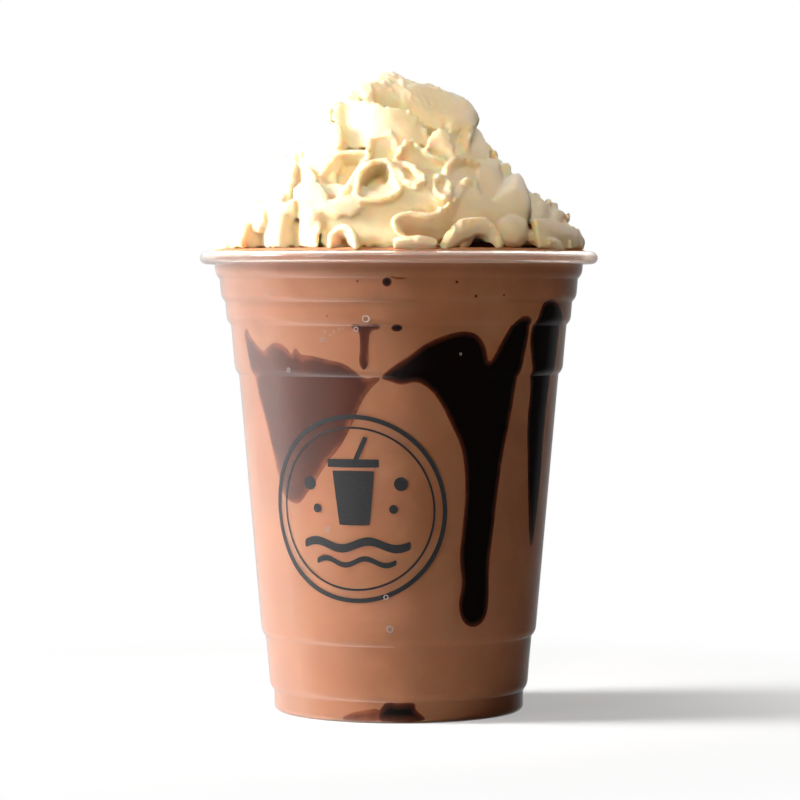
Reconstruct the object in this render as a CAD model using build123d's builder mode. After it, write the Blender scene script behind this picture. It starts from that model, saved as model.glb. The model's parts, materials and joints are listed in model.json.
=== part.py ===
from build123d import *

import os
from math import cos, pi, radians, sin, tan

# A chocolate milkshake in its clear takeaway cup, under a piped swirl of whipped cream.
#
# Millimetres, +Z up. The origin is the centre of the foot, on the surface the cup stands on.
# Three pieces: the thermoformed cup, the drink that fills it to the brim, and the cream on top.

# ---------------------------------------------------------------- the cup
cup_height = 113.0  # from the table to the crown of the rolled lip
lip_radius = 49.0  # outside of the rolled lip
lip_height = 3.0  # the roll, from its crown to its underside
lip_width = 4.0  # the roll, from the inner face of the cup to its outside
lip_gap = 0.8  # between the rolled edge's end and the wall it curls back to
wall = 0.5  # thickness of the plastic
draft = 5.0  # degrees that each band of the wall leans in towards the foot
step_in = 0.9  # how far the wall steps in at each crease
step_height = 2.2  # height of the rounded shoulder above a crease
creases_below_crown = (6.6, 12.2, 17.9, 30.0)  # lid ring, two grip rings, sleeve line
stacking_crease = 18.5  # above the table, where stacked cups meet
foot_crease = 5.1  # above the table, where the foot starts
foot_corner = 1.5  # outer radius at the bottom of the foot
foot_width = 4.0  # the ring that the cup stands on, with its corner
recess_depth = 2.5  # how far the base panel is pushed up inside the foot
recess_angle = 60.0  # degrees, slope of the recess's side

# -------------------------------------------------------------- the drink
drink_crown = 0.6  # how far the drink bulges above the lip's crown
drink_shoulder = 2.0  # width of the rounded edge of that bulge
brim_angle = 75.0  # degrees round the lip's inner roll that the drink climbs

# -------------------------------------------------------------- the cream
cream_height = 42.9  # above the drink
cream_margin = 0.5  # bare drink left between the cream's foot and the rounded edge
cream_taper = 0.78  # share of the foot's radius that the mound loses on its way up
tip_fullness = 8  # the higher, the later the taper closes into the tip
tip_lean = 2.2  # how far the tip leans sideways
turns_up = 3.5  # turns of the swirl, from foot to tip
first_rise = 4  # how soon above the drink the first turn stands out in full
turn_out = 2.6  # how far a turn bulges out of the mound
turn_hang = 2.3  # how far a turn's edge hangs over the groove below
edge_sharpness = 1.5  # the higher, the narrower the ruffled edge of a turn
ruffles = 9.5  # waves in each turn's edge, half a wave out of step with the turn below
ruffle_out = 2.2  # depth of those waves, outwards
ruffle_up = 1.3  # depth of those waves, up and down
foot_ruffle = 0.4  # depth of the waves where the cream meets the drink
facets_round = 80
facets_up = 34

# ----------------------------------------------------- sizes that follow
inner_lip_radius = lip_radius - lip_width
roll_radius = lip_height / 2
roll_level = cup_height - roll_radius
lean = tan(radians(draft))
crease_levels = [cup_height - down for down in creases_below_crown] + [
    stacking_crease,
    foot_crease,
]
brim = (
    inner_lip_radius + roll_radius * (1 - cos(radians(brim_angle))),
    roll_level + roll_radius * sin(radians(brim_angle)),
)
drink_level = cup_height + drink_crown
drink_flat_radius = brim[0] - drink_shoulder
cream_foot_radius = drink_flat_radius - cream_margin


def band_ends():
    """Radius and level at the top of each band, where its shoulder starts, and at its crease."""
    radius, level = inner_lip_radius + wall, roll_level
    bands = []
    for crease in crease_levels:
        shoulder = crease + step_height
        at_shoulder = radius - (level - shoulder) * lean
        at_crease = at_shoulder - step_height * lean - step_in
        bands.append(((radius, level), (at_shoulder, shoulder), (at_crease, crease)))
        radius, level = at_crease, crease
    return bands


def draw_wall(inset):
    """Draws the wall's outline from the lip's roll down to the foot's crease, moved in by inset."""
    for top, shoulder, crease in band_ends():
        top, shoulder, crease = (
            (radius - inset, level) for radius, level in (top, shoulder, crease)
        )
        Line(top, shoulder)
        TangentArc(shoulder, crease, tangent=(-lean, -1))


def draw_foot(inset):
    """Draws the foot and base from the foot's crease to the axis, moved into the cup by inset."""
    foot_radius, _ = band_ends()[-1][-1]
    side = foot_radius - inset
    corner = foot_corner - inset
    floor_edge = foot_radius - foot_width + inset * tan(radians(recess_angle) / 2)
    panel_edge = floor_edge - recess_depth / tan(radians(recess_angle))
    Line((side, foot_crease), (side, inset + corner))
    RadiusArc((side, inset + corner), (side - corner, inset), corner)
    Polyline(
        (side - corner, inset),
        (floor_edge, inset),
        (panel_edge, recess_depth + inset),
        (0, recess_depth + inset),
    )


# ---------------------------------------------------------------- the cup
with BuildPart() as cup:
    with BuildSketch(Plane.XZ):
        with BuildLine():
            draw_wall(0)
            draw_foot(0)
            Line((0, recess_depth), (0, recess_depth + wall))
            draw_wall(wall)
            draw_foot(wall)
            Line((inner_lip_radius, roll_level), (inner_lip_radius + wall, roll_level))
        make_face()
        with BuildLine() as roll:
            bend = roll_radius - wall / 2
            start = inner_lip_radius + wall / 2
            outside = lip_radius - wall / 2
            crown = cup_height - wall / 2
            underside = cup_height - lip_height + wall / 2
            RadiusArc((start, roll_level), (start + bend, crown), bend)
            Line((start + bend, crown), (outside - bend, crown))
            RadiusArc((outside - bend, crown), (outside, roll_level), bend)
            RadiusArc((outside, roll_level), (outside - bend, underside), bend)
            Line((outside - bend, underside), (start + wall / 2 + lip_gap, underside))
        trace(roll.line, line_width=wall)
    revolve(axis=Axis.Z)

# -------------------------------------------------------------- the drink
with BuildPart() as drink:
    with BuildSketch(Plane.XZ):
        with BuildLine():
            draw_wall(wall)
            draw_foot(wall)
            Line((0, recess_depth + wall), (0, drink_level))
            Line((0, drink_level), (drink_flat_radius, drink_level))
            TangentArc((drink_flat_radius, drink_level), brim, tangent=(1, 0))
            RadiusArc(brim, (inner_lip_radius, roll_level), -roll_radius)
        make_face()
    revolve(axis=Axis.Z)


# -------------------------------------------------------------- the cream
def cream_point(up, around):
    """A point of the swirl's skin. up runs 0 to 1 from foot to tip, around 0 to 1 round the axis."""
    turns = turns_up * up - around
    phase = 2 * pi * turns
    wave = 2 * pi * ruffles * (around + round(turns))
    edge = (0.5 + 0.5 * cos(phase)) ** edge_sharpness
    from_foot = min(1, first_rise * turns_up * up)
    full = from_foot * min(1, turns_up * (1 - up))
    mound = cream_foot_radius * (1 - cream_taper * up) * (1 - up**tip_fullness) ** 0.5
    radius = mound + full * (turn_out * cos(phase) + ruffle_out * edge * sin(wave))
    radius += (1 - from_foot) * foot_ruffle * (sin(wave) - 1)
    height = cream_height * up + full * (turn_hang * sin(phase) + ruffle_up * edge * cos(wave))
    angle = 2 * pi * around
    return (
        tip_lean * up**2 + radius * cos(angle),
        radius * sin(angle),
        drink_level + height,
    )


def cream_faces():
    """The skin's triangles, with a flat face under them where the cream lies on the drink."""
    rings = [
        [cream_point(row / facets_up, step / facets_round) for step in range(facets_round)]
        for row in range(facets_up)
    ]
    tip = (tip_lean, 0, drink_level + cream_height)
    triangles = []
    for step in range(facets_round):
        after = (step + 1) % facets_round
        for lower, upper in zip(rings, rings[1:]):
            triangles.append((lower[step], lower[after], upper[after]))
            triangles.append((lower[step], upper[after], upper[step]))
        triangles.append((rings[-1][step], rings[-1][after], tip))
    return [Face(Wire.make_polygon(outline)) for outline in [rings[0], *triangles]]


with BuildPart() as cream:
    add(Solid(Shell(cream_faces())))

# ------------------------------------------------------------- the pieces
os.makedirs("parts", exist_ok=True)
cup.part.label = "cup"
export_step(cup.part, "parts/cup.step")
drink.part.label = "drink"
export_step(drink.part, "parts/drink.step")
cream.part.label = "cream"
export_step(cream.part, "parts/cream.step")
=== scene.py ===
"""A chocolate milkshake in a clear takeaway cup, with syrup runs inside the wall and whipped cream.

The cup keeps the shape it comes with. The drink, the syrup, the cream and the print are modelled
to fit it.
"""

import json
import math

import bpy
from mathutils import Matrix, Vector, noise
from mathutils.kdtree import KDTree


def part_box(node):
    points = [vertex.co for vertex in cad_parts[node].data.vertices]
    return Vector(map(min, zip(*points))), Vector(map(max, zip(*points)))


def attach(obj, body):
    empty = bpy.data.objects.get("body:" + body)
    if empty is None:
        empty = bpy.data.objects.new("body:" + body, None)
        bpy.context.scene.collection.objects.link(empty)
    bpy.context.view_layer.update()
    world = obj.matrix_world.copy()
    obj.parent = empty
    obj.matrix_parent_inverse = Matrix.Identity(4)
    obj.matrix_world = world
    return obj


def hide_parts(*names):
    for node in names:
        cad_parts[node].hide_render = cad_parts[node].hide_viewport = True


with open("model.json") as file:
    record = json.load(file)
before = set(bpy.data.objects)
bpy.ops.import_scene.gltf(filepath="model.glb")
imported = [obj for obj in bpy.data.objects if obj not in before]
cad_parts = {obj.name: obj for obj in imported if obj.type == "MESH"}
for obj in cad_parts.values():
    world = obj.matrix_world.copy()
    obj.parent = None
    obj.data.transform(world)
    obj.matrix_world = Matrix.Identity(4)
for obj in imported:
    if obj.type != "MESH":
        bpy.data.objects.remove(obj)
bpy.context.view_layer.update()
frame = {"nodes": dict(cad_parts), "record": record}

MM = 0.001
noise.seed_set(7)  # any fixed seed tears and wrinkles the cream in the same way every time

# ------------------------------------------------------------------------ sizes from the frame
lip_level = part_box("cup")[1].z
cream_low, cream_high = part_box("cream")
cream_foot_level = cream_low.z
cream_tip_level = cream_high.z
into_wall = 0.15 * MM  # how far the drink reaches into the plastic, so that no air gap shows
syrup_into_wall = 0.25 * MM  # the syrup lies between the drink and the plastic
pinhole = 0.3 * MM  # radius left at the axis, which a small round face closes


def rings_of(node):
    """(level, radius) rings of a round node, from the bottom up: its recessed base and its outside."""
    foot_middle = frame["record"]["mounts"][0]["pos_m"][0]
    recess, outside = {}, {}
    for corner in frame["nodes"][node].data.vertices:
        level = round(corner.co.z / MM, 2) * MM
        radius = math.hypot(corner.co.x, corner.co.y)
        if radius > foot_middle:
            outside[level] = max(outside.get(level, 0), radius)
        elif radius > foot_middle / 2:
            recess[level] = max(recess.get(level, 0), radius)
    return sorted(recess.items()), sorted(outside.items())


recess, inner_wall = rings_of("drink")
outer_wall = rings_of("cup")[1]


def radius_at(rings, level):
    """Radius at a level of a shape given by its rings, between the rings on both sides of it."""
    for (low, low_radius), (high, high_radius) in zip(rings, rings[1:]):
        if low <= level <= high:
            return low_radius + (high_radius - low_radius) * (level - low) / (high - low)
    return rings[0][1] if level < rings[0][0] else rings[-1][1]


def on_wall(rings, degrees, level, out):
    """A point near the wall. Degrees run from the front, -Y, towards +X; out is away from the axis."""
    radius = radius_at(rings, level) + out
    turn = math.radians(degrees)
    return Vector((radius * math.sin(turn), -radius * math.cos(turn), level))


# ------------------------------------------------------------------------- small workshop helpers
def deselect_all():
    bpy.ops.object.select_all(action="DESELECT")


def make_active(*pieces):
    deselect_all()
    for piece in pieces:
        piece.select_set(True)
    bpy.context.view_layer.objects.active = pieces[0]


def added(name):
    """The piece that was just made, under its own name."""
    piece = bpy.context.active_object
    piece.name = name
    piece.data.name = name
    return piece


def apply_modifiers(piece):
    make_active(piece)
    for modifier in list(piece.modifiers):
        bpy.ops.object.modifier_apply(modifier=modifier.name)


def settle(piece):
    """Puts the piece's place into its mesh, so that its object sits at the origin."""
    make_active(piece)
    bpy.ops.object.transform_apply(location=True, rotation=True, scale=True)


def to_mesh(piece):
    make_active(piece)
    bpy.ops.object.convert(target="MESH")
    return bpy.context.active_object


def join(name, pieces):
    make_active(*pieces)
    bpy.ops.object.join()
    return added(name)


def faces_out(piece):
    """Merges doubled corners and turns every face outwards."""
    make_active(piece)
    bpy.ops.object.mode_set(mode="EDIT")
    bpy.ops.mesh.select_all(action="SELECT")
    bpy.ops.mesh.remove_doubles(threshold=0.001 * MM)
    bpy.ops.mesh.normals_make_consistent(inside=False)
    bpy.ops.object.mode_set(mode="OBJECT")


def smooth(piece):
    make_active(piece)
    bpy.ops.object.shade_smooth()


def finish_piece(piece, material, slot, *nodes):
    """Gives the piece its material, hangs it under the root body, and hides the CAD nodes that it
    stands for. Its slot is not used.
    """
    piece.data.materials.clear()
    piece.data.materials.append(material)
    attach(piece, "root")
    if nodes:
        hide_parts(*nodes)


# --------------------------------------------------------------------------------- materials
def new_material(name):
    material = bpy.data.materials.new(name)
    material.use_nodes = True
    tree = material.node_tree
    return material, tree, tree.nodes["Principled BSDF"]


def put(tree, kind, **settings):
    """Adds a node; settings whose names are its properties are set, and the rest are its inputs."""
    node = tree.nodes.new(kind)
    for key, value in settings.items():
        if hasattr(node, key):
            setattr(node, key, value)
        else:
            node.inputs[key.replace("_", " ")].default_value = value
    return node


def link(tree, start, end):
    tree.links.new(start, end)


def put_math(tree, operation, *sources):
    """Adds a maths node over sources, which are outputs of other nodes or plain numbers."""
    node = put(tree, "ShaderNodeMath", operation=operation)
    for socket, source in zip(node.inputs, sources):
        if isinstance(source, bpy.types.NodeSocket):
            link(tree, source, socket)
        else:
            socket.default_value = source
    return node.outputs["Value"]


def put_range(tree, source, start, end, low=0.0, high=1.0, kind="SMOOTHSTEP"):
    """Goes from low to high while source goes from start to end."""
    node = put(tree, "ShaderNodeMapRange", interpolation_type=kind)
    for socket, value in (("From Min", start), ("From Max", end), ("To Min", low), ("To Max", high)):
        node.inputs[socket].default_value = value
    link(tree, source, node.inputs["Value"])
    return node.outputs["Result"]


def mottle_group():
    """Soft uneven patches: a colour mask, with a height from finer specks."""
    group = bpy.data.node_groups.new("mottle", "ShaderNodeTree")
    face = group.interface
    face.new_socket("Patch Scale", in_out="INPUT", socket_type="NodeSocketFloat")
    face.new_socket("Speck Scale", in_out="INPUT", socket_type="NodeSocketFloat")
    face.new_socket("Patches", in_out="OUTPUT", socket_type="NodeSocketFloat")
    face.new_socket("Specks", in_out="OUTPUT", socket_type="NodeSocketFloat")
    start = group.nodes.new("NodeGroupInput")
    end = group.nodes.new("NodeGroupOutput")
    place = put(group, "ShaderNodeTexCoord")
    patches = put(group, "ShaderNodeTexNoise", Detail=4.0, Roughness=0.6, Distortion=0.6)
    specks = put(group, "ShaderNodeTexNoise", Detail=2.0, Roughness=0.5)
    for texture, scale in ((patches, "Patch Scale"), (specks, "Speck Scale")):
        link(group, place.outputs["Object"], texture.inputs["Vector"])
        link(group, start.outputs[scale], texture.inputs["Scale"])
    link(group, patches.outputs["Fac"], end.inputs["Patches"])
    link(group, specks.outputs["Fac"], end.inputs["Specks"])
    return group


mottle = mottle_group()


def put_mottle(tree, patch_scale, speck_scale):
    """Places the mottle group; the larger a scale, the smaller its patches or specks."""
    node = tree.nodes.new("ShaderNodeGroup")
    node.node_tree = mottle
    node.inputs["Patch Scale"].default_value = patch_scale
    node.inputs["Speck Scale"].default_value = speck_scale
    return node


def put_ramp(tree, source, *stops):
    """A colour ramp over source, with (place, colour) stops."""
    ramp = tree.nodes.new("ShaderNodeValToRGB")
    while len(ramp.color_ramp.elements) < len(stops):
        ramp.color_ramp.elements.new(0.5)
    for element, (place, colour) in zip(ramp.color_ramp.elements, stops):
        element.position = place
        element.color = (*colour, 1.0)
    link(tree, source, ramp.inputs["Fac"])
    return ramp


def clear_plastic():
    """Clear thermoformed plastic. Its rolled lip is a little hazy, with a painted warm tint and a
    painted glow that stands in for light it carries round from below.
    """
    material, tree, shader = new_material("clear_plastic")
    place = put(tree, "ShaderNodeTexCoord")
    parts = put(tree, "ShaderNodeSeparateXYZ")
    link(tree, place.outputs["Object"], parts.inputs["Vector"])
    rolled = put_range(tree, parts.outputs["Z"], lip_level - 4.0 * MM, lip_level - 3.0 * MM)
    # painted tint: the lip is warmed to stand in for the drink's colour showing through it
    tint = put_ramp(tree, rolled, (0.0, (0.97, 0.98, 0.98)), (1.0, (1.0, 0.93, 0.87)))
    link(tree, tint.outputs["Color"], shader.inputs["Base Color"])
    haze = put_math(tree, "MULTIPLY_ADD", rolled, 0.06, 0.04)
    link(tree, haze, shader.inputs["Roughness"])
    # painted glow: the lip gives off a little warm light of its own, for light the plastic carries
    # round from below and the lit side
    painted_lip_glow = put_math(tree, "MULTIPLY", rolled, 0.042)
    link(tree, painted_lip_glow, shader.inputs["Emission Strength"])
    shader.inputs["Emission Color"].default_value = (1.0, 0.70, 0.54, 1.0)
    shader.inputs["IOR"].default_value = 1.5
    shader.inputs["Transmission Weight"].default_value = 1.0
    return material


def milkshake():
    """Light brown chocolate milkshake with faint paler patches and fine foam specks."""
    material, tree, shader = new_material("milkshake")
    pattern = put_mottle(tree, patch_scale=55.0, speck_scale=900.0)
    patches = put_ramp(
        tree,
        pattern.outputs["Patches"],
        (0.30, (0.50, 0.226, 0.120)),
        (0.70, (0.59, 0.286, 0.160)),
    )
    link(tree, patches.outputs["Color"], shader.inputs["Base Color"])
    shader.inputs["Roughness"].default_value = 0.45
    shader.inputs["Specular IOR Level"].default_value = 0.0
    shader.inputs["Subsurface Weight"].default_value = 0.35
    shader.inputs["Subsurface Radius"].default_value = (1.0, 0.45, 0.22)
    shader.inputs["Subsurface Scale"].default_value = 1.2 * MM
    bump = put(tree, "ShaderNodeBump", Strength=0.15, Distance=0.1 * MM)
    link(tree, pattern.outputs["Specks"], bump.inputs["Height"])
    link(tree, bump.outputs["Normal"], shader.inputs["Normal"])
    return material


def chocolate_syrup():
    """Nearly black syrup that turns red brown towards its edges, where it is thin."""
    material, tree, shader = new_material("chocolate_syrup")
    pattern = put_mottle(tree, patch_scale=140.0, speck_scale=600.0)
    depth = put(tree, "ShaderNodeAttribute", attribute_name="syrup_depth")
    uneven = put_math(tree, "MULTIPLY_ADD", pattern.outputs["Patches"], 0.5, depth.outputs["Fac"])
    colour = put_ramp(
        tree,
        uneven,
        (0.22, (0.36, 0.11, 0.05)),
        (0.42, (0.108, 0.026, 0.013)),
        (0.75, (0.05, 0.0140, 0.0075)),
        (1.15, (0.010, 0.003, 0.002)),
    )
    link(tree, colour.outputs["Color"], shader.inputs["Base Color"])
    shader.inputs["Roughness"].default_value = 0.25
    shader.inputs["Specular IOR Level"].default_value = 0.0
    return material


def whipped_cream():
    """Whipped cream. Light goes deep into it, which keeps its folds soft and warm."""
    material, tree, shader = new_material("whipped_cream")
    pattern = put_mottle(tree, patch_scale=120.0, speck_scale=1400.0)
    colour = put_ramp(
        tree,
        pattern.outputs["Patches"],
        (0.30, (0.80, 0.67, 0.44)),
        (0.70, (0.83, 0.72, 0.52)),
    )
    link(tree, colour.outputs["Color"], shader.inputs["Base Color"])
    shader.inputs["Roughness"].default_value = 0.48
    shader.inputs["Subsurface Weight"].default_value = 1.0
    shader.inputs["Subsurface Radius"].default_value = (1.0, 0.6, 0.35)
    shader.inputs["Subsurface Scale"].default_value = 2.0 * MM
    bump = put(tree, "ShaderNodeBump", Strength=0.25, Distance=0.15 * MM)
    link(tree, pattern.outputs["Specks"], bump.inputs["Height"])
    link(tree, bump.outputs["Normal"], shader.inputs["Normal"])
    return material


def bubble_foam():
    """The pale greyish rims of small bubbles."""
    material, tree, shader = new_material("bubble_foam")
    pattern = put_mottle(tree, patch_scale=400.0, speck_scale=2500.0)
    tint = put_ramp(
        tree,
        pattern.outputs["Patches"],
        (0.35, (0.30, 0.25, 0.22)),
        (0.70, (0.48, 0.40, 0.35)),
    )
    link(tree, tint.outputs["Color"], shader.inputs["Base Color"])
    shader.inputs["Roughness"].default_value = 0.3
    return material


def black_print():
    """Screen print, matt black with a faint unevenness of the ink."""
    material, tree, shader = new_material("black_print")
    pattern = put_mottle(tree, patch_scale=300.0, speck_scale=2500.0)
    ink = put_ramp(
        tree,
        pattern.outputs["Specks"],
        (0.35, (0.006, 0.006, 0.007)),
        (0.75, (0.016, 0.015, 0.016)),
    )
    link(tree, ink.outputs["Color"], shader.inputs["Base Color"])
    shader.inputs["Roughness"].default_value = 0.55
    return material


# ------------------------------------------------------------------------------ the drink
def lathe(name, rings, segments):
    """A round wall from a circle at the first ring, extruded and widened up through the rest."""
    deselect_all()
    first_level, first_radius = rings[0]
    bpy.ops.mesh.primitive_circle_add(
        vertices=segments, radius=first_radius, location=(0, 0, first_level)
    )
    wall = added(name)
    settle(wall)
    make_active(wall)
    bpy.ops.object.mode_set(mode="EDIT")
    bpy.ops.mesh.select_all(action="SELECT")
    level, radius = rings[0]
    for next_level, next_radius in rings[1:]:
        bpy.ops.mesh.extrude_edges_move(
            TRANSFORM_OT_translate={"value": (0, 0, next_level - level)}
        )
        share = next_radius / radius
        bpy.ops.transform.resize(value=(share, share, 1), center_override=(0, 0, next_level))
        level, radius = next_level, next_radius
    bpy.ops.object.mode_set(mode="OBJECT")
    return wall


def fill_ends(piece):
    """Closes both ends of a lathed wall and turns it outwards."""
    make_active(piece)
    bpy.ops.object.mode_set(mode="EDIT")
    bpy.ops.mesh.select_mode(type="EDGE")
    bpy.ops.mesh.select_all(action="DESELECT")
    bpy.ops.mesh.select_non_manifold()
    bpy.ops.mesh.edge_face_add()
    bpy.ops.mesh.select_all(action="SELECT")
    bpy.ops.mesh.normals_make_consistent(inside=False)
    bpy.ops.object.mode_set(mode="OBJECT")


def drink_in_cup():
    """The drink out to just inside the plastic, round the recessed base and up over the lip."""
    panel_level = recess[-1][0]
    rings = [(panel_level - into_wall, pinhole)]
    rings += [(level - into_wall, radius) for level, radius in reversed(recess)]
    rings += [(level, radius + into_wall) for level, radius in inner_wall]
    rings += [(inner_wall[-1][0], pinhole)]
    drink = lathe("milkshake", rings, segments=192)
    fill_ends(drink)
    make_active(drink)
    bpy.ops.object.shade_smooth_by_angle(angle=math.radians(40))
    return drink


# ------------------------------------------------------------------------------ the syrup
def flat_shape(name, outline):
    """A flat filled shape in XY through the points of its outline, rounded between them."""
    bpy.ops.curve.primitive_nurbs_circle_add(radius=1)
    shape = added(name)
    shape.data.dimensions = "2D"
    shape.data.fill_mode = "BOTH"
    shape.data.splines.clear()
    spline = shape.data.splines.new("NURBS")
    spline.points.add(len(outline) - 1)
    for point, (across, up) in zip(spline.points, outline):
        point.co = (across, up, 0, 1)
    spline.use_cyclic_u = True
    spline.order_u = 3
    spline.resolution_u = 6
    return to_mesh(shape)


def cut_in_strips(piece, step):
    """Bisects a flat piece every step across and up, so that it can follow a curved wall."""
    low = [min(corner.co[axis] for corner in piece.data.vertices) for axis in (0, 1)]
    high = [max(corner.co[axis] for corner in piece.data.vertices) for axis in (0, 1)]
    make_active(piece)
    bpy.ops.object.mode_set(mode="EDIT")
    for axis, normal in ((0, (1, 0, 0)), (1, (0, 1, 0))):
        place = low[axis] + step
        while place < high[axis]:
            bpy.ops.mesh.select_all(action="SELECT")
            spot = [0, 0, 0]
            spot[axis] = place
            bpy.ops.mesh.bisect(plane_co=spot, plane_no=normal)
            place += step
    bpy.ops.object.mode_set(mode="OBJECT")


def edge_distance(piece):
    """How far each corner is from the rim of an open sheet, whose edges have one face each."""
    mesh = piece.data
    spots_on_edge = 4
    uses = {}
    for face in mesh.polygons:
        for key in face.edge_keys:
            uses[key] = uses.get(key, 0) + 1
    rim = [key for key, count in uses.items() if count == 1]
    tree = KDTree(len(rim) * spots_on_edge)
    for number, (start, end) in enumerate(rim):
        for part in range(spots_on_edge):
            spot = mesh.vertices[start].co.lerp(mesh.vertices[end].co, part / spots_on_edge)
            tree.insert(spot, number * spots_on_edge + part)
    tree.balance()
    return [tree.find(corner.co)[2] for corner in mesh.vertices]


flat_degree = 0.75 * MM  # width of one degree of the wall while a shape is still flat
syrup_thickness = 0.7 * MM
edge_drawn_in = 0.02 * MM  # how much less a run's rim reaches into the plastic than its middle


def syrup_run(name, outline, fullness, thin_edge=2.0 * MM, step=1.0 * MM):
    """Syrup on the inside of the wall. The outline is in degrees from the front and mm of height.

    Fullness is how near its middle comes to the colour of thick syrup, and thin_edge is how far
    in from its rim it gets there.
    """
    flat = [(degrees * flat_degree, height * MM) for degrees, height in outline]
    run = flat_shape(name, flat)
    cut_in_strips(run, step)
    depths = [min(1.0, distance / thin_edge) for distance in edge_distance(run)]
    attribute = run.data.attributes.new("syrup_depth", "FLOAT", "POINT")
    attribute.data.foreach_set("value", [depth * fullness for depth in depths])
    for corner, depth in zip(run.data.vertices, depths):
        out = syrup_into_wall - edge_drawn_in * (1 - depth)
        corner.co = on_wall(inner_wall, corner.co.x / flat_degree, corner.co.y, out)
    modifier = run.modifiers.new("thickness", "SOLIDIFY")
    modifier.thickness = syrup_thickness
    modifier.offset = -1
    apply_modifiers(run)
    smooth(run)
    return run


left_run = [
    (-63.0, 94.6), (-66.0, 93.4), (-63.6, 88.0), (-61.8, 82.5), (-59.2, 76.6), (-56.2, 71.6),
    (-53.6, 65.4), (-51.4, 60.6), (-50.0, 55.4), (-46.4, 53.2), (-41.0, 52.2), (-37.0, 54.6),
    (-31.4, 58.9), (-27.0, 62.8), (-21.1, 66.8), (-16.8, 71.8), (-13.6, 76.8), (-9.6, 80.6),
    (-6.0, 82.6), (-7.6, 83.2), (-11.6, 82.4), (-14.6, 84.2), (-18.6, 86.4), (-25.0, 87.2),
    (-31.0, 88.2), (-35.2, 88.2), (-36.4, 89.9), (-37.9, 89.6), (-38.8, 88.0), (-41.4, 90.2),
    (-45.4, 91.4), (-49.0, 90.6), (-52.8, 88.7), (-56.6, 90.2), (-60.4, 92.2),
]
right_run = [
    (-7.0, 82.8), (-2.3, 85.6), (3.6, 88.2), (9.0, 91.2), (16.0, 93.2), (22.6, 94.1),
    (27.6, 93.0), (30.6, 90.0), (31.6, 86.2), (34.0, 88.2), (37.6, 92.4), (41.6, 96.4),
    (45.2, 97.8), (49.4, 96.9), (49.3, 92.6), (47.3, 86.4), (45.6, 80.6), (44.4, 74.0),
    (41.4, 65.0), (40.0, 56.0), (39.0, 47.0), (37.6, 37.0), (38.8, 28.0), (37.0, 24.2),
    (31.6, 22.6), (26.2, 24.4), (24.2, 28.6), (25.8, 33.4), (24.0, 39.6), (24.6, 46.0),
    (25.6, 53.0), (25.2, 60.0), (23.2, 66.4), (19.0, 71.6), (15.2, 76.4), (11.4, 80.0),
    (6.3, 82.2), (1.0, 81.0), (-3.4, 82.2),
]
far_right_run = [
    (54.6, 101.2), (52.0, 97.0), (50.2, 94.0), (50.2, 90.6), (52.0, 86.6), (54.6, 79.6),
    (53.6, 72.0), (56.4, 60.8), (58.4, 53.0), (61.8, 43.6), (65.0, 40.4), (66.6, 45.6),
    (68.4, 56.0), (67.6, 66.0), (68.4, 78.0), (70.0, 88.0), (71.6, 95.0), (68.0, 99.0),
    (61.0, 101.6),
]
drip = [
    (-15.8, 95.9), (-11.0, 95.3), (-6.2, 95.9), (-6.0, 94.3), (-9.6, 94.2), (-10.2, 90.0),
    (-10.0, 86.2), (-11.8, 84.4), (-13.6, 86.2), (-12.9, 90.0), (-13.0, 94.2), (-15.6, 94.3),
]
foot_pool = [
    (-10.5, 0.6), (-9.0, 3.2), (-7.5, 4.0), (-5.7, 5.4), (0.9, 5.0), (7.6, 5.2),
    (7.4, 3.4), (11.4, 1.8), (12.4, 0.6), (0.0, 0.5),
]
foot_film = [(-27.5, 0.6), (-23.7, 2.2), (-14.7, 3.3), (-8.5, 3.8), (-7.5, 0.7), (-17.0, 0.5)]
crescent = [(-2.9, 107.0), (-1.4, 106.2), (0.6, 106.0), (3.3, 106.5), (0.4, 106.6), (-1.2, 106.7)]


def dot_outline(degrees, level, width, height):
    """A round or oval dot on the wall, width and height in mm."""
    wide = width / (2 * flat_degree / MM)
    turns = [2 * math.pi * step / 8 for step in range(8)]
    return [
        (degrees + wide * math.cos(turn), level + height / 2 * math.sin(turn)) for turn in turns
    ]


syrup_dots = (  # degrees from the front, then level, width and height in mm
    (-0.6, 94.7, 3.0, 1.9), (-3.6, 105.5, 2.4, 2.4), (-12.8, 105.7, 0.6, 0.6),
    (18.1, 105.5, 0.7, 0.7), (24.7, 102.2, 0.8, 0.8), (34.8, 102.4, 0.6, 0.6),
    (-11.8, 89.6, 0.7, 0.7), (-23.5, 97.5, 0.5, 0.5),
)
top_pools = (  # degrees from the front, reach from the axis and radius in mm, fullness
    (29.0, 40.5, 4.6, 1.0), (57.0, 41.0, 4.0, 0.12),
)
pool_lumps = 2.2 * MM  # size of the unevenness of a pool's edge


def syrup_on_top():
    """Syrup that shows under the edge of the cream, a thick pool and a thinner one."""
    pools = []
    for degrees, reach, radius, fullness in top_pools:
        turn = math.radians(degrees)
        place = (reach * math.sin(turn) * MM, -reach * math.cos(turn) * MM, cream_foot_level)
        deselect_all()
        bpy.ops.mesh.primitive_uv_sphere_add(
            segments=32, ring_count=16, radius=radius * MM, location=place
        )
        pool = added("pool")
        bpy.ops.transform.resize(value=(1, 0.8, 0.28))
        settle(pool)
        for corner in pool.data.vertices:
            corner.co += noise.noise_vector(corner.co / pool_lumps) * 0.5 * MM
        attribute = pool.data.attributes.new("syrup_depth", "FLOAT", "POINT")
        attribute.data.foreach_set("value", [fullness] * len(pool.data.vertices))
        smooth(pool)
        pools.append(pool)
    return join("syrup_on_top", pools)


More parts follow.
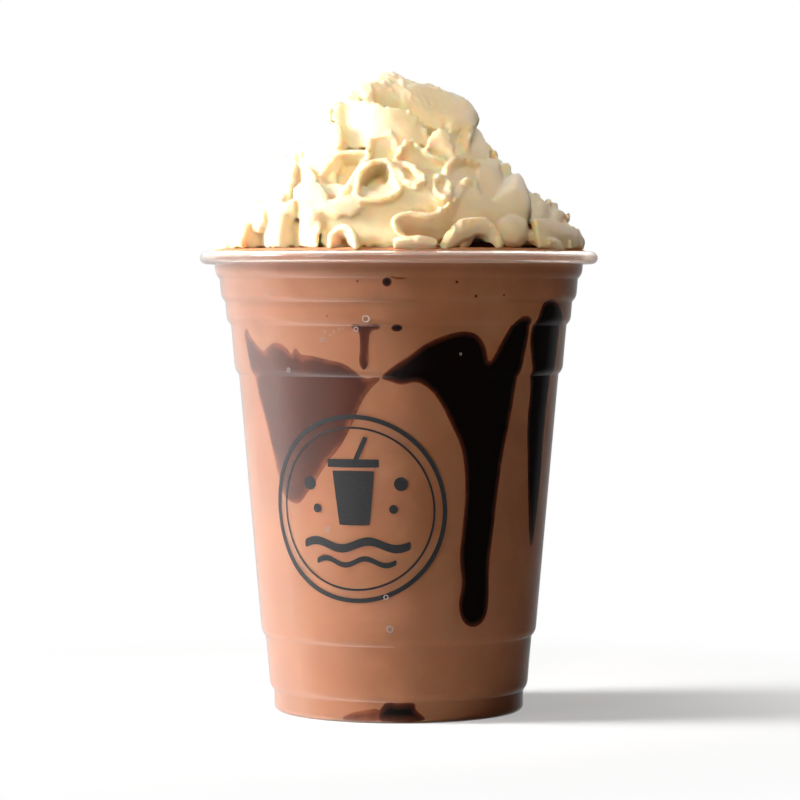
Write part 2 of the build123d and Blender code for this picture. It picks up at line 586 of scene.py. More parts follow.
bubbles = (  # degrees from the front, then level and radius in mm
    (-10.5, 96.8, 0.75), (-14.1, 94.4, 0.5), (-25.8, 91.8, 0.5), (-25.0, 93.7, 0.3),
    (-21.7, 93.7, 0.25), (-19.9, 94.4, 0.25), (-18.5, 94.4, 0.2), (-23.2, 93.0, 0.2),
    (-40.6, 84.6, 0.45), (-3.5, 23.0, 0.7), (-5.0, 30.7, 0.5), (-27.7, 46.6, 0.5),
    (-44.0, 102.5, 0.3), (21.0, 88.5, 0.25),
)
bubble_rim_share = 0.22  # thickness of a bubble's rim, as a share of its radius


def bubble_rims():
    """Small bubbles at the wall, each a raised ring on the plastic."""
    rims = []
    for degrees, level, radius in bubbles:
        deselect_all()
        bpy.ops.mesh.primitive_torus_add(
            major_radius=radius * MM,
            minor_radius=bubble_rim_share * radius * MM,
            major_segments=20,
            minor_segments=8,
            location=on_wall(outer_wall, degrees, level * MM, out=0.02 * MM),
            rotation=(math.radians(90), 0, math.radians(degrees)),
        )
        rim = added("rim")
        settle(rim)
        smooth(rim)
        rims.append(rim)
    return join("bubbles", rims)


# ------------------------------------------------------------------------------ the print
badge_degrees = -16.9  # from the front
badge_level = 51.7 * MM
badge_rings = (("ring", 22.5 * MM, 1.1 * MM), ("inner_ring", 19.6 * MM, 0.5 * MM))  # radius, width
# The rest is in mm across and up from the badge's middle, and a dot has its radius last.
badge_dots = ((-11.5, 6.0, 1.7), (11.5, 6.0, 1.7), (-9.6, 0.0, 1.1), (9.6, 0.0, 1.1))
tumbler = (
    (-5.2, 9.0), (-5.1, 9.1), (5.1, 9.1), (5.2, 9.0),
    (3.8, -3.5), (3.6, -3.9), (-3.6, -3.9), (-3.8, -3.5),
)
lid = (
    (-6.4, 11.7), (-6.3, 11.9), (6.3, 11.9), (6.4, 11.7),
    (6.4, 10.1), (6.3, 9.9), (-6.3, 9.9), (-6.4, 10.1),
)
straw = (
    (0.2, 11.9), (2.6, 17.0), (2.9, 17.3), (3.7, 17.0),
    (3.7, 16.6), (1.5, 11.9), (1.4, 11.7), (0.3, 11.7),
)


def flat_ring(name, radius, width):
    """A flat ring, with its width inside the radius."""
    deselect_all()
    bpy.ops.mesh.primitive_circle_add(vertices=128, radius=radius)
    ring = added(name)
    make_active(ring)
    bpy.ops.object.mode_set(mode="EDIT")
    bpy.ops.mesh.select_all(action="SELECT")
    bpy.ops.mesh.extrude_edges_move(TRANSFORM_OT_translate={"value": (0, 0, 0)})
    share = 1 - width / radius
    bpy.ops.transform.resize(value=(share, share, 1), center_override=(0, 0, 0))
    bpy.ops.object.mode_set(mode="OBJECT")
    return ring


def flat_wave(level, width, height, thickness):
    """The outline in mm of a bold line of two waves, from left to right and back."""
    steps = 24
    top = []
    for step in range(steps + 1):
        across = width * (step / steps - 0.5)
        top.append((across, level + height * math.sin(step / steps * 4 * math.pi)))
    return top + [(across, up - thickness) for across, up in reversed(top)]


def badge():
    """A plain printed badge: two rings round a takeaway tumbler with its straw, waves and dots."""
    shapes = [flat_ring(*ring) for ring in badge_rings]
    waves = (
        flat_wave(level=-7.6, width=27.0, height=0.9, thickness=2.0),
        flat_wave(level=-12.0, width=20.0, height=0.8, thickness=1.3),
    )
    outlines = [tumbler, lid, straw, *waves]
    turns = [math.pi * step / 6 for step in range(12)]
    for across, up, radius in badge_dots:
        outlines.append(
            [(across + radius * math.cos(turn), up + radius * math.sin(turn)) for turn in turns]
        )
    for outline in outlines:
        shapes.append(flat_shape("shape", [(across * MM, up * MM) for across, up in outline]))
    flat = join("badge", shapes)
    cut_in_strips(flat, 1.2 * MM)
    for corner in flat.data.vertices:
        across, level = corner.co.x, badge_level + corner.co.y
        turn = math.degrees(across / radius_at(outer_wall, level))
        corner.co = on_wall(outer_wall, badge_degrees + turn, level, out=0.03 * MM)
    modifier = flat.modifiers.new("ink", "SOLIDIFY")
    modifier.thickness = 0.02 * MM
    apply_modifiers(flat)
    return flat


# ------------------------------------------------------------------------- the whipped cream
# A petal is a sheet between its free rim and its buried root. Their points are
# (mm to the right, mm above the drink, mm in from the mound's skin towards the back).
mound_skin = (  # rings of the mound: height above the drink and radius, both in mm
    (-2.0, 45.0), (0.5, 45.0), (7.5, 42.0), (11.5, 38.0), (14.5, 33.0), (19.5, 28.0), (23.5, 25.0),
    (29.5, 20.0), (32.5, 17.5), (35.5, 16.0), (38.5, 11.0), (40.0, 7.5), (43.0, 1.0),
)
core_depth = 5.5  # mm between the mound's skin and the solid cream inside
thinnest_core = 2.0  # its least radius in mm


def on_mound(across, up, deep):
    """A point of the front of the mound, as far across and up as given."""
    out = math.sqrt(max(radius_at(mound_skin, up) ** 2 - across**2, 0)) - deep
    return Vector((across * MM, -out * MM, cream_foot_level + up * MM))


def spread(points, count):
    """As many points as count along a broken line, equally many on each of its stretches."""
    spread_out = []
    for step in range(count):
        place = step * (len(points) - 1) / (count - 1)
        before = min(int(place), len(points) - 2)
        start, end = Vector(points[before]), Vector(points[before + 1])
        spread_out.append(start.lerp(end, place - before))
    return spread_out


def loft(name, rows):
    """A smooth surface over rows of control points, all rows with as many points."""
    deselect_all()
    bpy.ops.surface.primitive_nurbs_surface_curve_add()
    sheet = added(name)
    sheet.data.splines.clear()
    for row in rows:
        line = sheet.data.splines.new("NURBS")
        line.points.add(len(row) - 1)
        for point, place in zip(line.points, row):
            point.co = (*place, 1)
    make_active(sheet)
    bpy.ops.object.mode_set(mode="EDIT")
    bpy.ops.curve.select_all(action="SELECT")
    bpy.ops.curve.make_segment()
    bpy.ops.object.mode_set(mode="OBJECT")
    surface = sheet.data.splines[0]
    surface.order_u = 3
    surface.order_v = 3
    surface.use_endpoint_u = True
    surface.use_endpoint_v = True
    surface.resolution_u = 5
    surface.resolution_v = 5
    return to_mesh(sheet)


def tear_rim(sheet, depth):
    """Roughens a sheet's free edges, as cream tears where the nozzle's teeth leave it."""
    grain = 1.3 * MM
    reach = 1.6 * MM
    least_share = 0.12  # of the depth, left all over the sheet
    for corner, distance in zip(sheet.data.vertices, edge_distance(sheet)):
        share = max(least_share, 1 - distance / reach)
        corner.co += noise.noise_vector(corner.co / grain) * share * depth


def thicken(sheet, thickness):
    """Gives a sheet its thickness, less towards its free rim."""
    thin_rim = 3.0 * MM
    fullest = 1.5  # share of the thickness in the sheet's body
    thinnest = 0.45  # share of that at its rim
    body = sheet.vertex_groups.new(name="body")
    for number, distance in enumerate(edge_distance(sheet)):
        body.add([number], min(1.0, distance / thin_rim), "REPLACE")
    modifier = sheet.modifiers.new("thickness", "SOLIDIFY")
    modifier.thickness = thickness * fullest
    modifier.offset = 0
    modifier.vertex_group = "body"
    modifier.thickness_vertex_group = thinnest
    apply_modifiers(sheet)


def petal(name, rim, root, belly=0.0, thickness=1.4, tear=1.0):
    """A ruffle of cream. A positive belly is the depth of its hollow, and a negative one bulges."""
    rim_row = [on_mound(*point) for point in rim]
    root_row = [on_mound(*point) for point in spread(root, len(rim))]
    hollow = Vector((0, 2 * belly * MM, 0))
    middle_row = [top.lerp(bottom, 0.5) + hollow for top, bottom in zip(rim_row, root_row)]
    sheet = loft(name, [rim_row, middle_row, root_row])
    tear_rim(sheet, tear * MM)
    thicken(sheet, thickness * MM)
    return sheet


def curl(name, rim, depth, share, sink=(0.0, 0.0), thickness=1.5, tear=1.0):
    """A rolled ruffle whose rim goes round an opening. Its inside narrows to share at its depth.

    Sink moves the inner end across and up. With a depth below 0 it is a lump that stands out.
    """
    rim_row = [on_mound(*point) for point in rim]
    middle = sum(rim_row, Vector()) / len(rim_row)
    end = middle + Vector((sink[0] * MM, depth * MM, sink[1] * MM))
    rows = [rim_row]
    for way in (0.55, 1.0):
        heart = middle.lerp(end, way)
        size = 1 + (share - 1) * way**2
        rows.append([heart + (point - middle) * size for point in rim_row])
    sheet = loft(name, rows)
    tear_rim(sheet, tear * MM)
    thicken(sheet, thickness * MM)
    return sheet


def edge_petals():
    """The cap and the ruffles that stand out at the sides."""
    return [
        petal(
            "cap",
            [(-11.4, 38.4, -5), (-9.8, 39.6, -6), (-8.4, 38.8, -6), (-6.5, 41.0, -5),
             (-2.4, 42.9, -2), (0.4, 41.6, 0), (3.6, 39.8, 1), (8.5, 39.4, 1), (12, 37.8, 1),
             (15.6, 36.6, 1), (18.2, 33.4, 1), (19.2, 31.2, 1)],
            [(-9.5, 37.4, -5), (-6, 35, 0), (0, 32, 4), (8, 28, 4), (17.6, 28, -1)],
            belly=-2.0, thickness=3.0, tear=1.2,
        ),
        petal(
            "cap_left",
            [(-9.8, 39.4, -6), (-11.6, 39.0, -2), (-12.0, 38.8, 0), (-11.6, 39.0, 2),
             (-9.8, 39.4, 6)],
            [(-6, 35, 4), (-4, 35, 14), (-6, 35, 22)],
            belly=-0.5, thickness=3.0,
        ),
        petal(
            "back_lobe",
            [(-21.8, 24, -1), (-22, 27.6, -1), (-20, 30.2, -2), (-16.5, 30.8, -3),
             (-13.8, 29.6, -3)],
            [(-20, 21, 2), (-17, 21, 2), (-13, 22, 3)],
            belly=-2.5, thickness=2.0,
        ),
        petal(
            "upper_left_mass",
            [(-35.2, 11.5, 0), (-34.2, 15.5, 0), (-31.4, 18.4, -1), (-30, 21.6, -1), (-27, 23, -2),
             (-24.6, 21.4, -3)],
            [(-33, 8, 3), (-29, 9, 1), (-26, 11, 1)],
            belly=-2.0, thickness=1.8,
        ),
        petal(
            "left_dome",
            [(-41.6, 5, 0), (-40.4, 9.4, 0), (-37, 12, -1), (-33.6, 11.6, -3), (-31.6, 9, -3)],
            [(-40, 3, 2), (-36, 3, 1), (-32, 4, 2)],
            belly=-2.5, thickness=2.0,
        ),
        petal(
            "torn_ruffle",
            [(31, 13.2, 0), (33, 13.6, -1), (34.4, 11.4, 1), (36.6, 12, -1), (38.4, 10.8, 1),
             (39.2, 9, -0.5), (41.8, 7.6, 0), (41.4, 5.4, 0)],
            [(31, 6, 3), (35, 5, 4), (38, 4, 3)],
            belly=0.6, thickness=1.5, tear=1.4,
        ),
    ]


def front_petals():
    """The ruffles that face the front, from the top down."""
    return [
        petal(
            "big_petal",
            [(-16, 35.9, -5), (-15.4, 35.6, -4), (-13.4, 35.6, 3), (-9.5, 36.2, 4),
             (-6.5, 35.4, -2), (-3, 33.9, -2.5), (1.2, 33.5, -1.5), (4.4, 31.8, -1), (6.2, 29.2, 0),
             (7.4, 25.5, 1)],
            [(-15, 24, -4), (-12, 24, 4), (-5, 24, 2), (1, 24, 1), (7, 24.5, 2)],
            belly=0.8, thickness=1.5,
        ),
        petal(
            "small_petal",
            [(-7.6, 23.2, -2.5), (-7.4, 25.8, -2.5), (-6.2, 26.5, -1), (-4.2, 27.2, -0.5),
             (-2.4, 28, -0.5), (-1.2, 27, -0.5), (-0.4, 25.2, 0), (0, 23, 0)],
            [(-7, 21, 3), (-3, 20, 3), (0.5, 21, 3)],
            belly=0.6, thickness=1.4,
        ),
        curl(
            "left_bowl",
            [(-13.6, 11.2, -1), (-17.6, 13.0, -1), (-19.2, 16.2, -1.5), (-18.6, 18.6, -2),
             (-16.2, 20.2, -2), (-14.8, 23.0, -1), (-10.8, 23.5, -1), (-6.2, 23.0, 0),
             (-8.4, 20.2, -2), (-10.4, 16.8, -3), (-12.4, 13.2, -3), (-13.6, 11.2, -1)],
            depth=9.0, share=0.4, sink=(1.5, -0.5), thickness=1.5,
        ),
        petal(
            "leaf",
            [(-28, 11.4, -4), (-28.2, 15, -4.5), (-27.4, 18.8, -4), (-24.9, 20.6, -1),
             (-22.4, 21, -2), (-20.4, 18.2, -4), (-19.6, 16.2, -4), (-20, 14, -4)],
            [(-27, 9, 0), (-23.5, 9, 5), (-20, 11, 4)],
            belly=2.4, thickness=1.5,
        ),
        petal(
            "left_mass",
            [(-24.5, 13.5, -3), (-22.8, 15.2, -4), (-20.5, 15.4, -4), (-18, 14.2, -4)],
            [(-25, 9, 1), (-20, 8, 1), (-15, 9, 0)],
            belly=-2.0, thickness=2.4,
        ),
        petal(
            "left_filler",
            [(-26, 11.2, 0), (-22, 12.4, -1), (-18, 11.6, -1.5), (-14, 10.6, -2), (-11, 12.2, -2),
             (-8.5, 11.6, -2)],
            [(-25, 7, 2), (-17, 7, 1), (-9, 8, 1)],
            belly=-1.0, thickness=2.0,
        ),
        petal(
            "far_left_filler",
            [(-37, 8.4, -1), (-33.5, 10.2, -2), (-30, 10.8, -3), (-27, 10.4, -4), (-24, 11, -3)],
            [(-36, 5, 3), (-30, 5, 2), (-25, 6, 2)],
            belly=-1.0, thickness=2.0,
        ),
        petal(
            "right_filler",
            [(12, 12, -1), (15.6, 14.2, -2), (19, 13.2, -1), (22, 11, 0), (25, 9, 0)],
            [(13, 6, 2), (18, 5, 2), (25, 5, 2)],
            belly=0.0, thickness=2.0,
        ),
        petal(
            "middle_filler",
            [(-20, 15, 0), (-15, 15, 1), (-10, 14, 0.5), (-4, 14, 2), (0, 17, 2), (4, 17.5, 2),
             (7, 18.5, 1.5), (10, 18, 1.5), (13, 19, 2.5), (16, 19.5, 2), (19, 18, 2)],
            [(-20, 9, 1), (-10, 9, 1), (0, 9, 3), (5, 9, 2), (10, 9, 2), (16, 10, 1), (20, 11, 2)],
            belly=-0.3, thickness=2.2,
        ),
        petal(
            "lobe_filler",
            [(-24, 20, 0), (-21, 22.5, 0.5), (-18, 23.5, 1), (-14, 24, 2)],
            [(-23, 15, 2), (-19, 15, 3), (-15, 15, 3)],
            belly=-0.3, thickness=2.0,
        ),
        curl(
            "ring_curl",
            [(-9.6, 10.8, -3), (-10.2, 14, -4), (-9.6, 17, -4), (-7.6, 19.8, -4), (-4.8, 21, -4),
             (-2.2, 20.6, -4), (-1, 18.4, -3), (-0.6, 15.4, -3), (1.4, 13.4, -3), (-3, 11, -3),
             (-9.6, 10.8, -3)],
            depth=12.0, share=0.5, sink=(-0.5, -1.0), thickness=1.6,
        ),
        curl(
            "ring_curl_neck",
            [(-0.6, 19.8, -3), (1.6, 20.2, -3), (4.6, 18.4, -4), (6.2, 16.4, -4), (5.2, 14.4, -4),
             (2.6, 14.4, -4), (0.4, 16.4, -3), (-0.6, 19.8, -3)],
            depth=8.0, share=0.35, sink=(-1.0, 0.5), thickness=2.0,
        ),
        petal(
            "tipped_petal",
            [(-0.8, 21.0, -3), (0, 23.6, -3), (2.7, 26.6, -2.5), (4.4, 25.0, -2.5), (6.8, 23.2, -3),
             (8.8, 21.9, -3), (11.2, 21.0, -2)],
            [(0.5, 19.5, 3), (4, 17.5, 2), (8, 17, 2), (10.8, 18, 2)],
            belly=1.5, thickness=1.4,
        ),
        petal(
            "lit_fold",
            [(6.8, 24.4, -2), (7.4, 27.0, -2.5), (9.6, 29.0, -3), (11.6, 27.6, -3.5),
             (12.8, 24.8, -3.5), (13.2, 22.2, -3)],
            [(7.0, 22.5, 2), (9.5, 20.4, 1), (12.6, 20.4, 1)],
            belly=-1.6, thickness=1.6, tear=0.6,
        ),
        petal(
            "right_ruffle",
            [(9.4, 27.8, -2), (11.6, 28, 0), (13.4, 28.4, 2), (14.6, 28.2, 3), (15.6, 26.8, 1),
             (16.8, 26.4, -3), (17.6, 29, -2), (18.9, 29.9, 0), (20.4, 27.6, 1), (21.4, 25.4, 0),
             (22.8, 23.6, 0), (21.4, 22.2, 0)],
            [(10.5, 21.5, 2), (13, 20.5, 3), (17, 20, 0), (20, 20.5, 2)],
            belly=0.4, thickness=1.5, tear=0.7,
        ),
        petal(
            "hooked_curl",
            [(11.6, 13.5, -2), (10.6, 17, -2.5), (11.2, 20.2, -3), (13.2, 21.8, -3.5),
             (15.4, 22.3, -4), (17.8, 21.4, -4.5), (19.2, 20.0, -3)],
            [(13.4, 12, 4), (13.6, 15, 5), (15.6, 17.6, 6), (19, 18, 5)],
            belly=2.6, thickness=1.8,
        ),
        curl(
            "small_tube",
            [(8.6, 14.0, -4), (8.9, 16.2, -4), (10.6, 16.9, -4), (12.4, 15.2, -4), (12.8, 12.4, -4),
             (11.4, 11.0, -4), (9.6, 12.2, -4), (8.6, 14.0, -4)],
            depth=7.0, share=0.5, sink=(-2.5, 1.5), thickness=1.6,
        ),
        petal(
            "column",
            [(18.4, 21, -1), (21, 21.4, -1), (23.6, 21.8, -1), (24.2, 20, 1.5), (24.8, 18.8, 0.5),
             (26, 16.4, 0)],
            [(18.8, 9, 3), (22, 9, 3), (25, 9.5, 5), (28, 10, 3)],
            belly=0.3, thickness=2.0, tear=0.3,
        ),
        curl(
            "pointed_lump",
            [(20.8, 8.0, 2), (22.0, 11.0, 2), (24.4, 14.6, 2), (27.4, 17.6, 1), (29.4, 18.6, 0.5),
             (30.2, 16.0, 1), (31.4, 11, 2), (31, 5.5, 2), (26, 5.5, 2), (20.8, 8.0, 2)],
            depth=-4.0, share=0.02, sink=(1.8, 2.0), thickness=1.6, tear=0.3,
        ),
        curl(
            "round_lump",
            [(22.6, 3.6, 3), (23.4, 6.8, 3), (26, 8.2, 3), (29.4, 7.0, 3), (31, 4.0, 3),
             (29.6, 0.6, 3), (25, 0, 3), (22.6, 3.6, 3)],
            depth=-4.5, share=0.02, thickness=2.0, tear=0.4,
        ),
        curl(
            "little_lump",
            [(30.6, 2.4, 3), (31.6, 4.4, 3), (33.6, 5.0, 3), (35.6, 3.6, 3), (35.8, 1.2, 3),
             (33, 0, 3), (30.6, 2.4, 3)],
            depth=-4.0, share=0.02, thickness=1.6, tear=0.4,
        ),
        petal(
            "right_wall",
            [(31.8, 6.8, -2), (35, 7.2, -2), (38, 6.4, -2), (41, 5, -1.5), (42.6, 2.2, -1)],
            [(33, 0, 0), (37.5, 0, 0), (41.5, 0, 0)],
            belly=-0.6, thickness=2.0, tear=0.3,
        ),
        petal(
            "right_ribs",
            [(40.6, 4.8, -4), (41.8, 6.2, -1), (42.8, 4.2, -4), (43.8, 5.2, -1), (44.4, 3.0, -3),
             (45.4, 2.4, -1), (45.2, 0.6, -1)],
            [(40.8, 0.2, -2), (43, 0.2, 0), (45, 0.2, 0)],
            belly=0, thickness=1.6, tear=0.6,
        ),
        petal(
            "right_scrap",
            [(35.4, 1.8, -3.5), (36.6, 2.5, -4), (38, 1.6, -4), (39.6, 0.6, -4)],
            [(35.6, -0.2, 0), (37.5, -0.2, 0), (39.4, -0.2, 0)],
            belly=-0.4, thickness=1.3,
        ),
        petal(
            "s_fold",
            [(1.2, 2.6, -1.5), (-1.2, 4.2, -2.5), (-1.4, 6.6, -3), (0.8, 8.3, -3), (4.4, 7.9, -2.5),
             (8, 7.6, -2.5), (11.2, 10.2, -2.5), (14.4, 13.0, -3), (15.4, 16, -4), (17, 17.4, -4),
             (18.8, 15.8, -3), (19.2, 12, -2)],
            [(1.5, 3, 4), (6, 2.4, 4), (11, 1.6, 4), (15.5, 4, 4), (19.5, 6.5, 3)],
            belly=1.0, thickness=2.0,
        ),
        curl(
            "thick_arch",
            [(9.8, -0.4, -1), (11.2, 2.6, -1.5), (13.2, 4.6, -2), (16, 6.2, -2.5), (19, 6.4, -2.5),
             (22, 5.8, -2.5), (23.8, 3.6, -2), (24.4, -0.2, -1)],
            depth=5.0, share=0.3, sink=(1.0, -1.5), thickness=2.8,
        ),
        petal(
            "tongue",
            [(-1.4, 2.0, -1), (2.8, 2.7, -2.5), (6.6, 3.0, -2.5), (9, 1.6, -1)],
            [(-1, -0.3, 0), (4, -0.4, 0), (8.6, -0.4, 0)],
            belly=-1.2, thickness=2.0, tear=0.3,
        ),
        petal(
            "long_petal",
            [(-19.4, 8.0, -0.5), (-16, 9.2, -0.5), (-12.6, 9.8, -1), (-9.6, 10.6, -1),
             (-5.2, 11.6, -1.5), (-2, 13.2, -2), (1.2, 14.5, -2), (4.4, 14.4, -2), (7.6, 13.2, -1),
             (10.6, 11, 0)],
            [(-18, 0, 3), (-12, 0, 5), (-4, 0, 4), (4, 0, 4), (10, 2, 4)],
            belly=0.8, thickness=1.5,
        ),
        petal(
            "left_ribbon",
            [(-37.8, 0.6, -4), (-37.2, 4.6, -5), (-35.6, 6.8, -3), (-32.6, 8.5, 4),
             (-29.6, 8.9, -4), (-27, 8.2, -4), (-25.4, 7.2, 2), (-23.6, 7, 5), (-22.4, 8.4, 3),
             (-21.4, 9.4, -3.5), (-19.6, 8.6, -3), (-18, 8.4, -1)],
            [(-37, 0.2, 0), (-32.6, 0.4, 7), (-28.4, 0, -1), (-24.4, 0.2, 7), (-19, 0, 0)],
            belly=0.6, thickness=1.4, tear=0.8,
        ),
        curl(
            "arch_loop",
            [(-16.4, -0.4, -1), (-16.6, 2.4, -1.5), (-15, 4.5, -2), (-13, 5.1, -2.5),
             (-10.8, 4.4, -3), (-9.9, 2.2, -3), (-9.7, -0.4, -2)],
            depth=4.0, share=0.35, sink=(0.4, -1.0), thickness=1.8, tear=0.3,
        ),
        petal(
            "leftmost_petal",
            [(-44.6, 0.8, -3), (-44.2, 4.6, -3.5), (-42.4, 5.6, -1), (-39.4, 4.8, -3),
             (-37, 2.4, -3)],
            [(-43.6, 0, 1), (-41, 0, 7), (-37.4, 0, 4)],
            belly=1.4, thickness=1.4,
        ),
    ]


def middle_of(piece):
    """The middle of a piece's box."""
    corners = [corner.co for corner in piece.data.vertices]
    low = Vector([min(place[axis] for place in corners) for axis in range(3)])
    high = Vector([max(place[axis] for place in corners) for axis in range(3)])
    return (low + high) / 2


def cream_core():
    """The solid cream behind the ruffles."""
    rings = [
        (cream_foot_level + up * MM, max(radius - core_depth, thinnest_core) * MM)
        for up, radius in mound_skin[1:-2]
    ]
    core = lathe("core", rings, segments=64)
    fill_ends(core)
    return core


def copied(piece, name):
    """A copy with its own mesh."""
    make_active(piece)
    bpy.ops.object.duplicate()
    return added(name)


def turned(piece, degrees, width=1.0):
    """The piece turned about the cup's axis, and drawn in towards it to a share of its width."""
    make_active(piece)
    bpy.ops.transform.rotate(
        value=-math.radians(degrees), orient_axis="Z", center_override=(0, 0, 0)
    )
    bpy.ops.transform.resize(value=(width, width, 1), center_override=(0, 0, 0))
    settle(piece)
    return piece


def mirrored(piece):
    """The piece mirrored from the front to the back."""
    make_active(piece)
    bpy.ops.transform.mirror(constraint_axis=(False, True, False), center_override=(0, 0, 0))
    settle(piece)
    faces_out(piece)
    return piece


def wrinkle(cream):
    """Fine upright grooves all over, as the nozzle's teeth leave them, and deep ones on the cap."""
    groove_depth = 0.09  # mm, as the two below
    grain_depth = 0.05
    cap_groove_depth = 0.42
    cap_from = cream_tip_level - 11 * MM
    corners = [(corner.co.copy(), corner.normal.copy()) for corner in cream.data.vertices]
    places = []
    for place, normal in corners:
        spot = place / MM
        upright = Vector((spot.x / 1.1, spot.y / 1.1, spot.z / 4.5))
        slanted = Vector((spot.x / 1.1 + spot.z / 5, spot.y / 1.4, spot.z / 4.5))
        on_cap = min(1.0, max(0.0, (place.z - cap_from) / (4 * MM)))
        height = groove_depth * noise.noise(upright) + grain_depth * noise.noise(spot / 0.8)
        height += cap_groove_depth * on_cap * noise.noise(slanted)
        places.extend(place + normal * height * MM)
    cream.data.vertices.foreach_set("co", places)
    cream.data.update()


def swirl_of_cream():
    """All ruffles merged with the core into one skin. The back and the sides repeat the front's."""
    edges = join("edges", edge_petals())
    behind = mirrored(copied(edges, "edges_behind"))
    ruffles = front_petals()
    middle_reach = 14 * MM
    middle = [
        copied(ruffle, "middle") for ruffle in ruffles if abs(middle_of(ruffle).x) < middle_reach
    ]
    front = join("front", ruffles)
    back = turned(copied(front, "back"), 176)
    left = join("left", middle)
    right = turned(copied(left, "right"), 92, width=0.87)
    turned(left, -84, width=0.92)
    cream = join("cream_swirl", [cream_core(), edges, behind, front, back, left, right])
    remesh = cream.modifiers.new("one_skin", "REMESH")
    remesh.mode = "VOXEL"
    remesh.voxel_size = 0.36 * MM
    soften = cream.modifiers.new("soften", "SMOOTH")
    soften.factor = 0.5
    soften.iterations = 2
    apply_modifiers(cream)
    wrinkle(cream)
    most_triangles = 190000
    triangles = sum(len(face.vertices) - 2 for face in cream.data.polygons)
    thin_out = cream.modifiers.new("thin_out", "DECIMATE")
    thin_out.ratio = min(1, most_triangles / triangles)
    apply_modifiers(cream)
    smooth(cream)
    return cream


# -------------------------------------------------------------------------------- build all
materials = {
    "clear_plastic": clear_plastic(),
    "milkshake": milkshake(),
    "chocolate_syrup": chocolate_syrup(),
    "whipped_cream": whipped_cream(),
    "bubble_foam": bubble_foam(),
    "black_print": black_print(),
}

cup = frame["nodes"]["cup"]
cup.data.materials.clear()
cup.data.materials.append(materials["clear_plastic"])

drink = drink_in_cup()
finish_piece(drink, materials["milkshake"], "milkshake", "drink")

for name, outline, fullness in (
    # painted light in part: the left run, on the lit side, gets a much paler syrup colour than the
    # runs on the right, partly for thinner syrup and partly for the light it gets there
    ("syrup_left_run", left_run, 0.22),
    ("syrup_right_run", right_run, 1.0),
    ("syrup_far_right_run", far_right_run, 1.0),
    ("syrup_drip", drip, 0.45),
    ("syrup_foot_pool", foot_pool, 0.8),
    ("syrup_foot_film", foot_film, 0.25),
    ("syrup_crescent", crescent, 0.5),
):
    run = syrup_run(name, outline, fullness)
    finish_piece(run, materials["chocolate_syrup"], "chocolate_syrup")

dots = [
    syrup_run("dot", dot_outline(*dot), fullness=0.9, thin_edge=0.6 * MM, step=0.5 * MM)
    for dot in syrup_dots
]
finish_piece(join("syrup_dots", dots), materials["chocolate_syrup"], "chocolate_syrup")
finish_piece(syrup_on_top(), materials["chocolate_syrup"], "chocolate_syrup")
finish_piece(bubble_rims(), materials["bubble_foam"], "milkshake")
finish_piece(badge(), materials["black_print"], "black_print")

cream = swirl_of_cream()
finish_piece(cream, materials["whipped_cream"], "whipped_cream", "cream")


# ------------------------------------------------------------------------ floor, light, camera
def pale_floor():
    """A pale floor that keeps the cup's shadow and turns white further out."""
    deselect_all()
    bpy.ops.mesh.primitive_plane_add(size=8.0)
    floor = added("floor")
    material, tree, shader = new_material("floor")
    shader.inputs["Base Color"].default_value = (0.84, 0.84, 0.84, 1.0)
    shader.inputs["Roughness"].default_value = 0.8
    shader.inputs["Specular IOR Level"].default_value = 0.0
    place = put(tree, "ShaderNodeTexCoord")
    reach = put(tree, "ShaderNodeVectorMath", operation="LENGTH")
    link(tree, place.outputs["Object"], reach.inputs[0])
    fade = put_range(tree, reach.outputs["Value"], start=0.04, end=0.20, low=0.40)
    path = put(tree, "ShaderNodeLightPath")
    share = put_math(tree, "MULTIPLY", fade, path.outputs["Is Camera Ray"])
    white = put(tree, "ShaderNodeEmission", Strength=1.0)
    white.inputs["Color"].default_value = (1, 1, 1, 1)
    mix = put(tree, "ShaderNodeMixShader")
    link(tree, share, mix.inputs["Fac"])
    link(tree, shader.outputs["BSDF"], mix.inputs[1])
    link(tree, white.outputs["Emission"], mix.inputs[2])
    link(tree, mix.outputs["Shader"], tree.nodes["Material Output"].inputs["Surface"])
    floor.data.materials.append(material)
    floor.visible_glossy = False


def bright_round_the_cup(tree, direction):
    """How bright gloss sees each side, from behind on the left round to behind on the right."""
    brightest = 4.0
    levels = (  # degrees round the cup from its front, brightness
        (-180, 0.4), (-140, 1.8), (-100, 3.2), (-74, 1.8), (-52, 1.1), (-38, 0.6),
        (-22, 0.3), (0, 0.15), (20, 0.02), (124, 0.02), (150, 0.2), (180, 0.4),
    )
    to_front = put_math(tree, "MULTIPLY", direction["Y"], -1)
    turn = put_math(tree, "ARCTAN2", direction["X"], to_front)
    share = put_range(tree, turn, -math.pi, math.pi, kind="LINEAR")
    stops = [((degrees + 180) / 360, (level / brightest,) * 3) for degrees, level in levels]
    ramp = put_ramp(tree, share, *stops)
    around = put(tree, "ShaderNodeVectorMath", operation="SCALE", Scale=brightest)
    link(tree, ramp.outputs["Color"], around.inputs[0])
    return around.outputs["Vector"]


def bright_behind_and_overhead(tree, direction):
    """A window behind the cup, raised above the floor, and a broad light overhead."""
    overhead = put_range(tree, direction["Z"], start=0.0, end=0.70, high=2.2)
    back = put_range(tree, direction["Y"], start=0.0, end=0.35)
    raised = put_range(tree, direction["Z"], start=0.05, end=0.35, high=0.5)
    return put_math(tree, "MULTIPLY_ADD", back, raised, overhead)


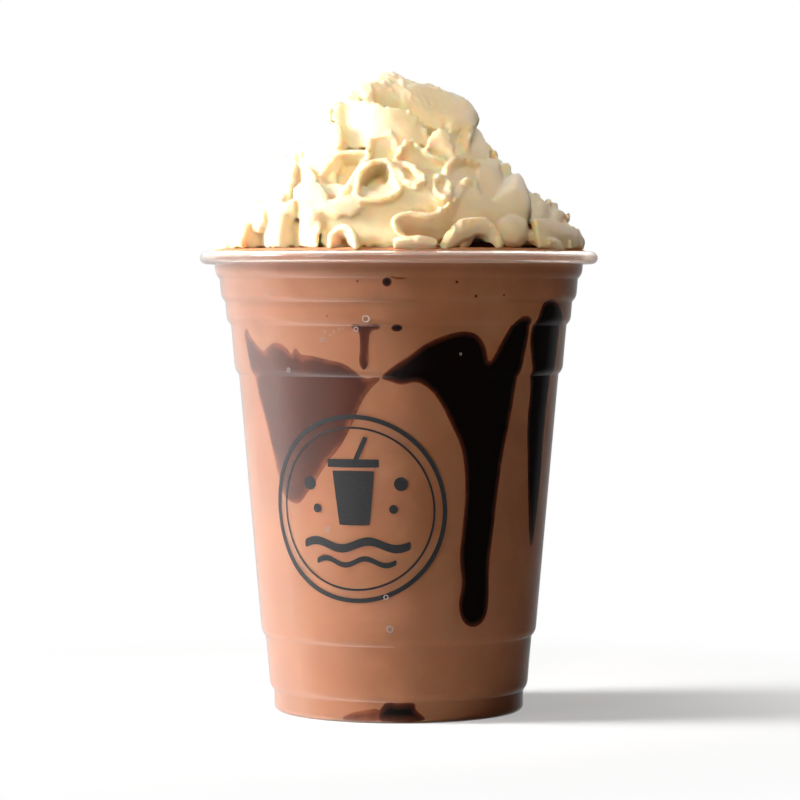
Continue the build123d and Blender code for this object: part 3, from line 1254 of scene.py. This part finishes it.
def studio_world():
    """White to the camera and through the plastic, a bright left side for gloss, and a low fill."""
    world = bpy.data.worlds.new("studio")
    bpy.context.scene.world = world
    world.use_nodes = True
    tree = world.node_tree
    background = tree.nodes["Background"]
    place = put(tree, "ShaderNodeTexCoord")
    parts = put(tree, "ShaderNodeSeparateXYZ")
    link(tree, place.outputs["Generated"], parts.inputs["Vector"])
    gloss = put(tree, "ShaderNodeVectorMath", operation="ADD")
    link(tree, bright_round_the_cup(tree, parts.outputs), gloss.inputs[0])
    link(tree, bright_behind_and_overhead(tree, parts.outputs), gloss.inputs[1])
    path = put(tree, "ShaderNodeLightPath")
    no_bounce = 0.5  # a count below this is none
    undiffused = put_math(tree, "LESS_THAN", path.outputs["Diffuse Depth"], no_bounce)
    mirrored_straight = put_math(tree, "MULTIPLY", path.outputs["Is Glossy Ray"], undiffused)
    fill = put(tree, "ShaderNodeMix", data_type="RGBA")
    link(tree, mirrored_straight, fill.inputs["Factor"])
    fill.inputs[6].default_value = (0.053, 0.033, 0.019, 1)
    link(tree, gloss.outputs["Vector"], fill.inputs[7])
    bounces = put_math(tree, "ADD", path.outputs["Diffuse Depth"], path.outputs["Glossy Depth"])
    straight = put_math(tree, "LESS_THAN", bounces, no_bounce)
    through = put_math(tree, "MULTIPLY", path.outputs["Is Transmission Ray"], straight)
    seen = put_math(tree, "MAXIMUM", path.outputs["Is Camera Ray"], through)
    mix = put(tree, "ShaderNodeMix", data_type="RGBA")
    link(tree, seen, mix.inputs["Factor"])
    link(tree, fill.outputs[2], mix.inputs[6])
    mix.inputs[7].default_value = (1, 1, 1, 1)
    link(tree, mix.outputs[2], background.inputs["Color"])
    background.inputs["Strength"].default_value = 1.0


def soft_lamp(name, degrees, distance, height, aim_height, size, energy, spread=180, tint=(1, 1, 1)):
    """A soft square lamp, degrees round the cup from its front, that gloss doesn't show.

    It points at the cup's axis at aim_height, and spread is the angle of its beam.
    """
    turn = math.radians(degrees)
    place = Vector((distance * math.sin(turn), -distance * math.cos(turn), height))
    deselect_all()
    bpy.ops.object.light_add(type="AREA", location=place)
    lamp = bpy.context.active_object
    lamp.name = name
    lamp.data.size = size
    lamp.data.energy = energy
    lamp.data.spread = math.radians(spread)
    lamp.data.color = tint
    lamp.visible_glossy = False
    aim = Vector((0, 0, aim_height)) - place
    lamp.rotation_euler = aim.to_track_quat("-Z", "Y").to_euler()


def front_camera():
    """A long lens a little below the level of the lip, tipped slightly down."""
    aside = 0.3 * MM
    distance = 0.852
    eye_level = 0.1032
    tip = math.radians(1.797)
    bpy.ops.object.camera_add(
        location=(aside, -distance, eye_level), rotation=(math.radians(90) - tip, 0, 0)
    )
    camera = bpy.context.active_object
    camera.name = "camera"
    camera.data.lens = 155.3
    camera.data.sensor_width = 36.0
    bpy.context.scene.camera = camera


pale_floor()
studio_world()
soft_lamp(
    "key_lamp",
    degrees=-84, distance=0.85, height=0.30, aim_height=-0.06, size=0.40, energy=1.75, spread=28,
)
soft_lamp(
    "low_lamp",
    degrees=-48, distance=0.55, height=0.10, aim_height=0.040, size=0.12, energy=0.032, spread=24,
)
soft_lamp(
    "top_lamp",
    degrees=160, distance=0.12, height=0.75, aim_height=0.12, size=0.5, energy=0.15,
)
soft_lamp(
    "cream_lamp",
    degrees=-4, distance=0.55, height=0.45, aim_height=0.158, size=0.12, energy=0.050, spread=18,
    tint=(1.0, 0.88, 0.68),
)
front_camera()
bpy.context.scene.view_settings.view_transform = "Standard"
